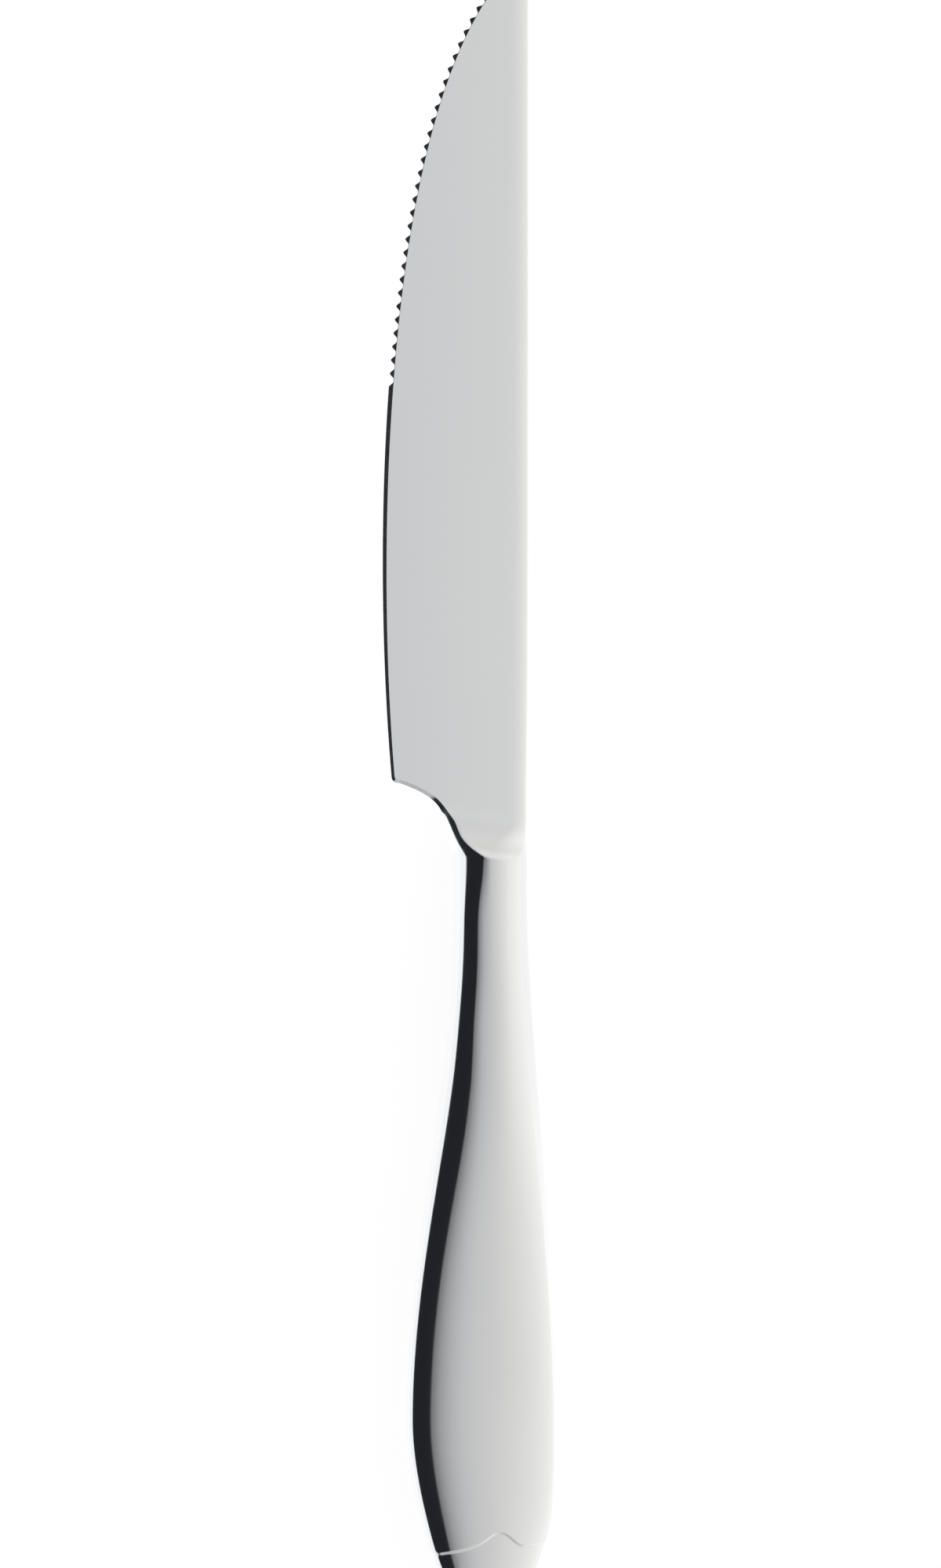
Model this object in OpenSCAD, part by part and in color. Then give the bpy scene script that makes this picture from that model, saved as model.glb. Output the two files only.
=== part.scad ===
// Steak knife with a forged blade and a hollow handle made of two pressed halves.
// The knife lies flat: +Y points at the tip, -X at the cutting edge, +X at the spine, +Z up.
// The origin is under the middle of the knife, on the surface that it lies on.

/* [Lengths] */
// Length of the blade, from its heel to its tip
blade_l = 119.6; // [100:1:140]
// Length of the bolster, from the heel to the mouth of the handle
bolster_l = 11.2; // [10:0.2:14]
// Length of the handle, from its mouth to its rounded end
handle_l = 108.8; // [95:1:125]

/* [Blade] */
// Greatest width of the blade, from its spine to its edge
blade_w = 20.8; // [17:0.1:24]
// Thickness of the blade at its spine
spine_t = 1.9; // [1.4:0.1:2.6]
// Thickness of the blade where the bevel of the edge begins
edge_t = 1; // [0.8:0.05:1.3]
// How far the spine leans out between the heel and the tip
spine_lean = 0.3; // [0:0.05:0.8]
// How far the rounding of the spine reaches onto the faces
spine_round_w = 2.2; // [1.2:0.1:3]
// How far that rounding lowers the corners of the spine
spine_round_h = 0.35; // [0.2:0.05:0.6]
// Radius of the corner of the heel
heel_r = 1.1; // [0.8:0.1:1.6]

/* [Edge] */
// Width of the bevel along the serrated part
bevel_w = 0.65; // [0.5:0.05:0.9]
// Width of the bevel at the heel, where it fades
heel_bevel_w = 0.45; // [0.3:0.05:0.6]
// Width of the bevel where it runs out on the choil
choil_bevel_w = 0.66; // [0.4:0.02:0.8]
// Slope of the bevel, in degrees from the face
bevel_angle = 33; // [25:1:36]
// Length of the plain edge between the heel and the first gullet
plain_l = 55.7; // [40:0.5:80]
// Distance from one tooth to the next
tooth_pitch = 1.94; // [1.7:0.02:2.4]
// Depth of a gullet
gullet_depth = 0.6; // [0.4:0.02:0.64]
// Width of the flat floor of a gullet
gullet_floor_w = 0.4; // [0.2:0.05:0.8]
// Length of plain edge left at the tip
tip_plain_l = 2.5; // [1.5:0.5:6]

/* [Bolster] */
// Radius of the hollow ramp that leads from the face up to the neck
ramp_r = 9; // [7:0.5:11]
// Steepest slope of the ramp, in degrees
ramp_angle = 44; // [38:1:48]
// Turn of the ramp across the blade, in degrees
ramp_skew = 10.5; // [0:0.5:14]
// Length of full neck left between the ramp and the mouth of the handle
collar_l = 1.1; // [0.8:0.1:1.6]
// Length of the plug that enters the handle
plug_l = 5; // [3:0.5:8]

/* [Tang] */
// Length of the tang, from the mouth of the handle
tang_l = 62; // [40:1:75]
// Width of the tang at the plug
tang_w = 6; // [4:0.5:7]
// Width of the tang at its end
tang_end_w = 4; // [3:0.5:5]
// Thickness of the tang
tang_t = 2.4; // [1.6:0.1:3]

/* [Handle] */
// Width of the neck
neck_w = 10.7; // [9:0.1:12]
// Thickness of the neck
neck_t = 8; // [7:0.1:9]
// Length of straight neck behind the mouth
neck_l = 3.6; // [2:0.2:8]
// Width of the grip at its widest
grip_w = 21.8; // [18:0.1:25]
// Thickness of the grip at its widest
grip_t = 7.3; // [6.5:0.1:9]
// Thickness of the belly, where the handle is thickest
belly_t = 9.4; // [8:0.1:11]
// Distance of that place behind the mouth
belly_d = 29.4; // [20:0.2:40]
// Length over which the crest of the neck fades on the edge side
crest_l = 8.7; // [5:0.1:12]
// Length of the rounded end behind the widest place
end_l = 28.8; // [22:0.2:36]
// How far the neck stands out beyond the line of the spine
neck_rise = 0.1; // [0:0.05:0.3]
// How far the grip stands out beyond the line of the spine
grip_rise = 4.4; // [2:0.1:6]
// Distance behind the mouth at which the handle starts to lean away from the spine
lean_start = 17; // [8:1:30]
// How far the rounded end leans back towards the spine
end_lean = 0.65; // [0:0.05:1.5]
// Thickness of the sheet that the halves are pressed from
sheet_t = 0.8; // [0.6:0.05:1]
// Clearance of the plug, the filler and the tang
fit = 0.05; // [0.03:0.01:0.08]

/* [Pressed border] */
// Distance of the border line from the end of the handle
border_l = 10.3; // [7:0.1:13]
// Depth of the step at the border line
step_h = 0.22; // [0.1:0.01:0.3]
// Length of the slope of that step
step_l = 0.46; // [0.2:0.02:0.6]
// Height of the peak in the border line
peak_h = 2.3; // [1:0.05:3]
// Offset of the peak from the middle of the handle, towards the spine
peak_x = 1.7; // [0:0.1:3]
// Distance from the peak to half its height, on the side of the edge
peak_edge_w = 2.1; // [1:0.1:3]
// Reach of the peak on the side of the spine
peak_spine_w = 3.8; // [2:0.1:5]

/* [Hidden] */

// The cuts run past what they cut by this much
overrun = 1;
// The bevel cutter is only this much larger than its bevel, so that it can turn the heel
bevel_overrun = 0.25;

// Curves of the blade, as shares of the blade's width and length
heel_width_share = 0.93;
edge_shares = [[heel_width_share, 0], [1.1, 0.32], [1, 0.88], [0, 1]];
// How soon behind the heel the spine leans out
lean_power = 6;
// The curve from the heel to the neck, as shares of the way across and down
choil_shares = [[0, 0], [0.97, 0.24], [0.81, 0.45], [1, 1]];
// How far along the choil the flat plate of the blade reaches, and the bolster begins
plate_end_share = 0.62;
bolster_start_share = 0.52;
// Half thickness of the choil's rounded side, as a share of the neck's
choil_side_share = 0.41;
// How much of the bolster its side takes to swell up to the neck
choil_swell_share = 0.59;
// Where along the choil its side starts to turn into the crested neck
crest_start_share = 0.8;
// Powers of the superellipses of the handle's section: below 2 it is crested, above 2 it is squarer
mouth_power = 1.62;
grip_power = 2.36;
// Flank of a gullet, from its floor outwards: shares of the way to the tooth's tip and of the depth
gullet_flank_shares = [[0, 1], [0.2, 0.9], [0.4, 0.65], [0.6, 0.35], [0.8, 0.1], [1.3, -0.5]];
// The rounded end closes on a small flat of this share of its width
end_flat_share = 0.03;
// How blunt the rounded end is, seen from its side
end_bluntness = 3.5;
// The end leans back over this share of its length
end_lean_share = 0.6;
// Slant of the border line across the handle
border_slant = 0.11;
// The border line fades into straight rows over this many peak heights
border_fade = 3.5;

// Numbers of steps
edge_steps = 64;
corner_steps = 4;
choil_steps = 14;
bolster_steps = 14;
spine_steps = 12;
ring_steps = 40;
half_ring_steps = 22;
swell_rows = 14;
border_rows = 3;
end_rows = 9;
ramp_arc_steps = 12;
lookup_steps = 400;
$fn = 48;

function mix(a, b, share) = a + (b - a) * share;
function clamp(u) = min(1, max(0, u));
function ease(u) = let (c = clamp(u)) c * c * (3 - 2 * c);
function bezier(p, t) =
    pow(1 - t, 3) * p[0] + 3 * pow(1 - t, 2) * t * p[1] + 3 * (1 - t) * t * t * p[2] + pow(t, 3) * p[3];
function between(a, b) = let (d = b - a) d / norm(d);

// How far the spine has leaned out at a share of the blade's length.
// The reaches of the edge are measured from the heel end of the spine
function lean_out(share) = spine_lean * (1 - pow(1 - clamp(share), lean_power));
unit_edge = [for (i = [0 : lookup_steps]) bezier(edge_shares, i / lookup_steps)];
widest_share = max([for (p = unit_edge) p[0]]);
edge_reaches = [for (s = edge_shares) blade_w * s[0] / widest_share - lean_out(s[1])];
edge_reach = max([for (i = [0 : lookup_steps]) bezier(edge_reaches, i / lookup_steps)]);

// The frame
overall_l = blade_l + bolster_l + handle_l;
overall_w = edge_reach + grip_rise;
mid_z = max(neck_t, belly_t, grip_t) / 2;
tip_y = overall_l / 2;
heel_y = tip_y - blade_l;
mouth_y = heel_y - bolster_l;
spine_x = overall_w / 2 - grip_rise;
neck_right_x = spine_x + neck_rise;
neck_left_x = neck_right_x - neck_w;
face_slope = (spine_t - edge_t) / 2 / blade_w;
face_tilt = atan(face_slope);
step_d = handle_l - border_l;

// Half thickness of the flat face over the place x, and the line of the spine
function face_z(x) = spine_t / 2 - (spine_x - x) * face_slope;
function spine_at(y) = spine_x + lean_out((y - heel_y) / blade_l);

// Outline of the blade, seen from above
edge_base_y = heel_y + heel_r;
edge_control = [for (i = [0 : len(edge_shares) - 1])
    [spine_x - edge_reaches[i], mix(edge_base_y, tip_y, edge_shares[i][1])]];
heel_x = edge_control[0][0];
choil_top = [heel_x + heel_r, heel_y];
choil_foot = [neck_left_x, mouth_y + collar_l / 2];
choil_control = [for (s = choil_shares)
    [mix(choil_top[0], choil_foot[0], s[0]), mix(choil_top[1], choil_foot[1], s[1])]];
heel_corner = [heel_x, heel_y];

function corner_point(t) =
    pow(1 - t, 2) * edge_control[0] + 2 * t * (1 - t) * heel_corner + t * t * choil_top;

edge_points = [for (i = [0 : edge_steps]) bezier(edge_control, 1 - i / edge_steps)];
corner_points = [for (i = [1 : corner_steps - 1]) corner_point(i / corner_steps)];
choil_points = [for (i = [0 : choil_steps]) bezier(choil_control, plate_end_share * i / choil_steps)];
rim_points = concat(edge_points, corner_points, choil_points);
plate_end_y = rim_points[len(rim_points) - 1][1];

// Places along the edge at equal steps of its length, from the heel end
fine_edge = [for (i = [0 : lookup_steps]) bezier(edge_control, i / lookup_steps)];
run = [for (i = 0, s = 0; i <= lookup_steps;
    s = s + (i < lookup_steps ? norm(fine_edge[i + 1] - fine_edge[i]) : 0), i = i + 1) s];
edge_l = run[lookup_steps];
x_table = [for (i = [0 : lookup_steps]) [run[i], fine_edge[i][0]]];
y_table = [for (i = [0 : lookup_steps]) [run[i], fine_edge[i][1]]];
function edge_at(s) = [lookup(s, x_table), lookup(s, y_table)];
gullets = floor((edge_l - tip_plain_l - plain_l) / tooth_pitch);

// Surface of the handle, d behind its mouth, drawn in at its sides and at its end
function swell(d) = ease((d - neck_l) / (handle_l - end_l - neck_l));
function end_turn(d, end_in) = max(0, (d - (handle_l - end_l)) / (end_l - end_in));
function round_off(v, power) = sqrt(max(1 - pow(v, power), pow(end_flat_share, 2)));
function half_w(d, side_in, end_in) =
    (mix(neck_w, grip_w, swell(d)) / 2 - side_in) * round_off(end_turn(d, end_in), 2);
function past_belly(d) = ease((d - belly_d) / (handle_l - end_l - belly_d));
function thickness(d) = mix(mix(neck_t, belly_t, ease(d / belly_d)), grip_t, past_belly(d));
function half_t(d, side_in, end_in) =
    (thickness(d) / 2 - side_in) * round_off(end_turn(d, end_in), end_bluntness);
// Height of a superellipse of height 1, and of the handle's section, at an angle round them
function dome(angle, power) = sign(sin(angle)) * pow(max(0, 1 - pow(abs(cos(angle)), power)), 1 / power);
function section(d, angle) =
    let (crest = cos(angle) < 0 ? mix(mouth_power, 2, ease(d / crest_l)) : 2)
    dome(angle, crest + (grip_power - 2) * past_belly(d));
function centre_x(d) =
    mix(neck_right_x - neck_w / 2, spine_x + grip_rise - grip_w / 2,
        ease((d - lean_start) / (handle_l - end_l - lean_start)))
    + end_lean * ease(end_turn(d, 0) / end_lean_share);

// How far the border line lies ahead of its mean place, x from the middle of the handle
function peak(x) = x < peak_x
    ? 1 / (1 + pow((peak_x - x) / peak_edge_w, 2))
    : (1 + cos(180 * min(1, (x - peak_x) / peak_spine_w))) / 2;
function border(x) = border_slant * x + peak_h * peak(x);

// A row is its distance behind the mouth, its share of the border's shape, and its step inwards
border_fade_l = border_fade * peak_h;
swell_end_d = step_d - border_fade_l;
behind_d = step_d + step_l / 2;
rows = concat(
    [for (i = [0 : swell_rows]) [swell_end_d * i / swell_rows, 0, 0]],
    [for (i = [1 : border_rows - 1])
        [mix(swell_end_d, step_d, i / border_rows), ease(i / border_rows), 0]],
    [[step_d - step_l / 2, 1, 0]],
    [for (i = [0 : end_rows]) let (u = i / end_rows)
        [mix(behind_d, handle_l, sin(90 * u)), pow(1 - u, 2), step_h]]);

// The point of a row at an angle round the handle, with the surface drawn in by in_t
function handle_point(row, angle, in_t) =
    let (
        x = half_w(row[0], row[2], 0) * cos(angle),
        ahead = row[0] - row[1] * border(x),
        d = ahead * (handle_l - in_t) / handle_l
    )
    [centre_x(d) + half_w(d, row[2] + in_t, in_t) * cos(angle),
     mouth_y - d,
     half_t(d, row[2] + in_t, in_t) * section(d, angle)];

// Triangles of a tube of rings with n points each, without its ends
function side_faces(rings, n) = [for (r = [0 : rings - 2]) for (i = [0 : n - 1])
    let (a = r * n + i, b = r * n + (i + 1) % n)
    each [[a, b + n, b], [a, a + n, b + n]]];
// Both ends of such a tube, each fanned from its first point
function end_faces(rings, n) = let (last = (rings - 1) * n)
    [for (i = [1 : n - 2]) each [[0, i, i + 1], [last, last + i + 1, last + i]]];

module tube(points, rings, n) {
    polyhedron(points, concat(side_faces(rings, n), end_faces(rings, n)), convexity = 4);
}

// How far the side of the bolster has swelled up to the neck
function side_swell(y) =
    let (swell_l = bolster_l * choil_swell_share)
    ease((mouth_y + swell_l - y) / swell_l);
// A ring of the bolster, full on its spine side. turn is the cosine of the choil's slant there,
// and crest is how far the section has turned into the crested one of the neck
function bolster_ring(left, right, y, turn, crest) =
    let (
        left_t = neck_t / 2 * mix(choil_side_share, 1, side_swell(y)),
        power = mix(2, mouth_power, crest),
        reach = neck_w / 2,
        left_reach = min(reach / turn, right - reach - left)
    )
    [for (i = [0 : ring_steps - 1])
        let (angle = 360 * (i + 0.5) / ring_steps)
        cos(angle) < 0
            ? [left + left_reach * (1 + cos(angle)), y, left_t * dome(angle, power)]
            : [right - reach * (1 - cos(angle)), y, neck_t / 2 * sin(angle)]];

// Neck, ramp stock and plug in one loft, before the faces are ground
module bolster_stock() {
    nudge = 1 / lookup_steps;
    down = [for (i = [0 : bolster_steps])
        mix(bolster_start_share, 1, i / bolster_steps)];
    curved = [for (t = down)
        let (
            p = bezier(choil_control, t),
            along = between(bezier(choil_control, t - nudge), p),
            crest = ease((t - crest_start_share) / (1 - crest_start_share))
        )
        bolster_ring(p[0], mix(spine_x, neck_right_x, ease(t)), p[1], -along[1], crest)];
    plug_in = sheet_t + fit;
    plug_row = [for (d = [0, plug_l]) [for (i = [0 : ring_steps - 1])
        let (angle = 360 * (i + 0.5) / ring_steps)
        [centre_x(d) + half_w(d, plug_in, 0) * cos(angle),
         mouth_y - d,
         half_t(d, plug_in, 0) * section(d, angle)]]];
    rings = concat(curved, [bolster_ring(neck_left_x, neck_right_x, mouth_y, 1, 1)], plug_row);
    tube([for (r = rings) each r], len(rings), ring_steps);
}

// Flat bar with a rounded end, widened all round by grow
module tang(grow) {
    start_d = plug_l - overrun;
    end_r = tang_end_w / 2;
    translate([centre_x(0), mouth_y, 0])
        linear_extrude(height = tang_t + 2 * grow, center = true)
            union() {
                polygon([
                    [-tang_w / 2 - grow, -start_d],
                    [-end_r - grow, end_r - tang_l],
                    [end_r + grow, end_r - tang_l],
                    [tang_w / 2 + grow, -start_d]
                ]);
                translate([0, end_r - tang_l]) circle(r = end_r + grow);
            }
}

// The blade as a thick plate with a rounded spine, cut to its outline
module plate() {
    side_h = spine_t / 2;
    top_h = neck_t / 2;
    round_x = spine_x - spine_round_w;
    round_z = side_h - spine_round_h;
    rounded = [for (i = [0 : corner_steps]) let (a = 90 * i / corner_steps)
        [round_x + spine_round_w * cos(a), round_z + spine_round_h * sin(a)]];
    upper = concat(rounded, [[round_x - overrun, top_h], [spine_x - blade_w - overrun, top_h]]);
    lower = [for (i = [len(upper) - 1 : -1 : 0]) [upper[i][0], -upper[i][1]]];
    profile = concat(lower, upper);
    stations = [for (i = [0 : spine_steps]) mix(tip_y + overrun, plate_end_y - overrun, i / spine_steps)];
    bar = [for (y = stations) for (p = profile) [p[0] + spine_at(y) - spine_x, y, p[1]]];
    // The outline runs on past the tip and past the spine, where the bar ends it
    past_tip = rim_points[0] + overrun * between(rim_points[1], rim_points[0]);
    past_spine_x = spine_x + spine_lean + overrun;
    outline = concat([past_tip], [for (i = [1 : len(rim_points) - 1]) rim_points[i]],
        [[past_spine_x, plate_end_y], [past_spine_x, tip_y + overrun]]);
    intersection() {
        linear_extrude(height = neck_t, center = true) polygon(outline);
        tube(bar, len(stations), len(profile));
    }
}

// What the grinding of one face takes away: flat along the blade, a hollow ramp at the neck
module face_cutter() {
    climb = neck_t / 2 - spine_t / 2;
    arc_angle = min(ramp_angle, acos(1 - climb / ramp_r));
    arc_l = ramp_r * sin(arc_angle);
    arc_h = ramp_r * (1 - cos(arc_angle));
    ramp_l = arc_l + (climb - arc_h) / tan(arc_angle);
    far_l = blade_l + bolster_l;
    top_h = climb + overrun;
    top_l = arc_l + (top_h - arc_h) / tan(arc_angle);
    arc = [for (i = [0 : ramp_arc_steps]) let (a = arc_angle * i / ramp_arc_steps)
        [-ramp_r * sin(a), ramp_r * (1 - cos(a))]];
    mid_x = (neck_left_x + neck_right_x) / 2;
    start_y = mouth_y + collar_l / 2 + ramp_l - (spine_x - mid_x) * tan(ramp_skew);
    translate([spine_x, start_y, spine_t / 2])
        rotate([0, -face_tilt, 0])
            rotate([0, 0, -ramp_skew])
                rotate([90, 0, 90])
                    linear_extrude(height = 4 * blade_w, center = true)
                        polygon(concat([[far_l, 0]], arc, [[-top_l, top_h], [far_l, top_h]]));
}

// Width of the bevel at the point i of the rim, from the tip round the heel to the choil
function bevel_at(i) = i <= edge_steps
    ? mix(heel_bevel_w, bevel_w, clamp((rim_points[i][1] - edge_base_y) / plain_l))
    : mix(heel_bevel_w, choil_bevel_w, (i - edge_steps) / (len(rim_points) - 1 - edge_steps));

// What the grinding of one bevel takes away: a three-sided rod along the whole rim
module bevel_cutter() {
    last = len(rim_points) - 1;
    slope = tan(bevel_angle);
    function along(i) = between(rim_points[max(0, i - 1)], rim_points[min(last, i + 1)]);
    function rod(i) =
        let (
            p = rim_points[i] + (i == 0 ? -1 : i == last ? 1 : 0) * bevel_overrun * along(i),
            inward = [-along(i)[1], along(i)[0]],
            w = bevel_at(i),
            land_z = face_z(p[0] + inward[0] * w) - w * slope,
            out = p - inward * bevel_overrun,
            in = p + inward * (w + bevel_overrun)
        )
        [[out[0], out[1], land_z - bevel_overrun * slope],
         [in[0], in[1], land_z + (w + bevel_overrun) * slope],
         [out[0], out[1], land_z + (w + bevel_overrun) * slope]];
    tube([for (i = [0 : last]) each rod(i)], last + 1, 3);
}

// One cut for each gullet, at equal steps along the edge: a flat floor between two rounded flanks
module gullet_cutters() {
    floor_end = gullet_floor_w / 2;
    flank = [for (f = gullet_flank_shares)
        [mix(floor_end, tooth_pitch / 2, f[0]), -gullet_depth * f[1]]];
    other = [for (i = [len(flank) - 1 : -1 : 0]) [-flank[i][0], flank[i][1]]];
    for (k = [0 : gullets - 1]) {
        s = plain_l + (k + 0.5) * tooth_pitch;
        at = edge_at(s);
        along = between(edge_at(s - tooth_pitch / 2), edge_at(s + tooth_pitch / 2));
        translate([at[0], at[1], 0])
            rotate([0, 0, atan2(along[1], along[0])])
                linear_extrude(height = neck_t, center = true) polygon(concat(flank, other));
    }
}

module blade() {
    color("silver")
        translate([0, 0, mid_z])
            union() {
                difference() {
                    union() {
                        plate();
                        bolster_stock();
                    }
                    face_cutter();
                    mirror([0, 0, 1]) face_cutter();
                    bevel_cutter();
                    mirror([0, 0, 1]) bevel_cutter();
                    gullet_cutters();
                }
                tang(0);
            }
}

// One pressed half of the handle: an outer and an inner skin, joined along the seam and the mouth
module half_shell() {
    n = half_ring_steps;
    ring_n = 2 * (n + 1);
    count = len(rows);
    points = [for (row = rows) each concat(
        [for (i = [0 : n]) handle_point(row, 180 * i / n, 0)],
        [for (i = [n : -1 : 0]) handle_point(row, 180 * i / n, sheet_t)])];
    last = (count - 1) * ring_n;
    mouth_faces = [for (i = [0 : n - 1]) let (j = ring_n - 1 - i)
        each [[i, i + 1, j], [i + 1, j - 1, j]]];
    outer_end = [for (i = [1 : n - 1]) [last, last + i + 1, last + i]];
    inner_end = [for (i = [1 : n - 1]) [last + n + 1, last + n + 2 + i, last + n + 1 + i]];
    seam_end = [[last, last + n + 1, last + n], [last, last + 2 * n + 1, last + n + 1]];
    polyhedron(points, concat(side_faces(count, ring_n), mouth_faces, outer_end, inner_end, seam_end),
        convexity = 6);
}

module handle_front_half() {
    color("gainsboro") translate([0, 0, mid_z]) half_shell();
}

module handle_back_half() {
    color("gainsboro") translate([0, 0, mid_z]) mirror([0, 0, 1]) half_shell();
}

// The cement that holds the tang, from the plug to the end of the handle
module tang_filler() {
    in_t = sheet_t + fit;
    n = half_ring_steps;
    kept = [for (row = rows) if (row[0] > plug_l + overrun) row];
    filled = concat([[plug_l + overrun / 2, 0, 0]], kept);
    points = [for (row = filled) for (i = [0 : n - 1]) handle_point(row, 360 * i / n, in_t)];
    color("tan")
        translate([0, 0, mid_z])
            difference() {
                tube(points, len(filled), n);
                tang(fit);
            }
}

blade();
handle_front_half();
handle_back_half();
tang_filler();
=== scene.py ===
"""Steak knife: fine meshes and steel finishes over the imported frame.

The meshes are worked out in millimetres, and Build.make turns them into metres. Materials, floor and
camera are in metres.
"""

import math

import bpy
import numpy as np
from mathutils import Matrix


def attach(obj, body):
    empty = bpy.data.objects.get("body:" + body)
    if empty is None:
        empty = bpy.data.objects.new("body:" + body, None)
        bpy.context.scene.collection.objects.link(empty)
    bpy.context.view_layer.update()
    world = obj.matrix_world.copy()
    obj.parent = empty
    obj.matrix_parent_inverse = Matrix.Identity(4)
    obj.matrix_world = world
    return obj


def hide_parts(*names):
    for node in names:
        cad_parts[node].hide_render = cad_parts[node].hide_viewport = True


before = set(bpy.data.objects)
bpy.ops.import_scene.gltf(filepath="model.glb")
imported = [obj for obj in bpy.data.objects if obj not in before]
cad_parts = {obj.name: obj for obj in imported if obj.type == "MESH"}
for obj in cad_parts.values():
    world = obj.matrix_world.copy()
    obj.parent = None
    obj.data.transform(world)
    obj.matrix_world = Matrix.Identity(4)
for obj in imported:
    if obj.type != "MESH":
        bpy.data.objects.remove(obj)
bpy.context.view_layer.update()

# The sizes of part.scad
blade_l, bolster_l, handle_l = 119.6, 11.2, 108.8
blade_w, spine_t, edge_t = 20.8, 1.9, 1.0
spine_lean, spine_round_w, spine_round_h, heel_r = 0.3, 2.2, 0.35, 1.1
bevel_w, heel_bevel_w, choil_bevel_w, bevel_angle = 0.65, 0.45, 0.66, 33.0
plain_l, tooth_pitch, gullet_depth, gullet_floor_w, tip_plain_l = 55.7, 1.94, 0.6, 0.4, 2.5
ramp_r, ramp_angle, ramp_skew, collar_l, plug_l = 9.0, 44.0, 10.5, 1.1, 5.0
tang_l, tang_w, tang_end_w, tang_t = 62.0, 6.0, 4.0, 2.4
neck_w, neck_t, neck_l, grip_w, grip_t, end_l = 10.7, 8.0, 3.6, 21.8, 7.3, 28.8
belly_t, belly_d, crest_l = 9.4, 29.4, 8.7
neck_rise, grip_rise, lean_start, end_lean = 0.1, 4.4, 17.0, 0.65
sheet_t, fit = 0.8, 0.05
border_l, step_h, step_l = 10.3, 0.22, 0.46
peak_h, peak_x, peak_edge_w, peak_spine_w = 2.3, 1.7, 2.1, 3.8
heel_width_share = 0.93
edge_shares = [(heel_width_share, 0), (1.1, 0.32), (1, 0.88), (0, 1)]
lean_power = 6
choil_shares = [(0, 0), (0.97, 0.24), (0.81, 0.45), (1, 1)]
plate_end_share = 0.62
choil_side_share, choil_swell_share = 0.41, 0.59
mouth_power, grip_power = 1.62, 2.36
end_bluntness, end_lean_share = 3.5, 0.6
border_slant, border_fade = 0.11, 3.5

# Forms that the picture alone has. A pair gives where a form starts and over what length it grows.
end_flat_share = 0.008  # a smaller flat at the handle's end than the solid's
FACE_CROWN = 0.08  # rise of the middle of the blade's face
CREST_LIFT, CREST_LEVEL = 0.0385, 0.21  # the crest's height, and the share of it that the section gives up
CREST_RISE, CREST_FALL = (-0.15, 0.65), (0.4, 0.6)  # across the half width
CREST_FADE = (30, 25)  # behind the mouth
SIDE_DIP, DIP_Y, DIP_HALF = 0.025, -7.9, 2.4  # a shallow dip in the bolster's edge side
SIDE_CREST, SIDE_LEAN = (0.8, 0.2), (0.6, 0.5)  # down the choil, and inwards from the rim
CREST_AHEAD, CREST_AHEAD_L = 3, 2.5  # how far before the mouth the crest starts, and over what length
NECK_ROUND_W, NECK_ROUND_H, NECK_ROUND = 5.0, 1.2, (5.5, 4)  # what the spine's rounding grows to, along -Y
OWN_FORM = (0.49, 0.22)  # down the choil, where the plate turns into the bolster's own form
SOFT_START, SOFT_SIDE, SOFT_GROW = 0.01, 0.1, 0.12  # how softly the ramp meets the bolster's form
SOFT_SPINE, SOFT_INWARD, SOFT_MOUTH = 0.4, 1.5, 1.2  # the same towards the spine
EDGE_FULLER = ((0.1, 23, 9), (0.18, 57, 22))  # added power of the section: size, middle, half width
SPINE_FULLER, FULLER_IN, FULLER_OUT = 0.2, (8, 16), (48, 22)  # the same on the spine side of the front part
SPINE_FLATTER, FLATTER = 0.28, (70, 14)  # and what is taken off it at the grip
STEP_STRETCH, STRETCH = 1.1, (0.74, 0.08)  # the border's step is longer, so less steep, round the edge side


def mix(a, b, t):
    """From a to b."""
    return a + (b - a) * t


def ease(u):
    c = np.clip(u, 0, 1)
    return c * c * (3 - 2 * c)


def rise(v, start, length):
    """Eases from 0 at the start to 1 a length further on, which is backwards where the length is negative."""
    return ease((v - start) / length)


def bump(d, middle, half):
    """Rises to 1 in the middle and is 0 past the half width."""
    return ease(1 - abs(d - middle) / half)


def bezier(p, t):
    t = np.asarray(t, float)[..., None]
    return (1 - t) ** 3 * p[0] + 3 * (1 - t) ** 2 * t * p[1] + 3 * (1 - t) * t * t * p[2] + t**3 * p[3]


def soft_min(a, b, k):
    """The lower of two heights, blended over a height difference of k."""
    return np.minimum(a, b) - np.maximum(k - np.abs(a - b), 0) ** 2 / (4 * k)


def lean_out(share):
    """How far the spine has leaned out at a share of the blade's length."""
    return spine_lean * (1 - (1 - np.clip(share, 0, 1)) ** lean_power)


# How far the edge lies from the heel end of the spine
unit_t = np.linspace(0, 1, 401)  # as fine as in part.scad
widest_share = bezier(np.array(edge_shares, float), unit_t)[:, 0].max()
edge_reaches = np.array([(blade_w * a / widest_share - lean_out(b), 0) for a, b in edge_shares])
edge_reach = bezier(edge_reaches, unit_t)[:, 0].max()

overall_l = blade_l + bolster_l + handle_l
overall_w = edge_reach + grip_rise
mid_z = max(neck_t, belly_t, grip_t) / 2
tip_y = overall_l / 2
heel_y = tip_y - blade_l
mouth_y = heel_y - bolster_l
spine_x = overall_w / 2 - grip_rise
neck_right_x = spine_x + neck_rise
neck_left_x = neck_right_x - neck_w
face_slope = (spine_t - edge_t) / 2 / blade_w
bevel_slope = math.tan(math.radians(bevel_angle))


def spine_at(y):
    """The line of the spine."""
    return spine_x + lean_out((y - heel_y) / blade_l)


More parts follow.
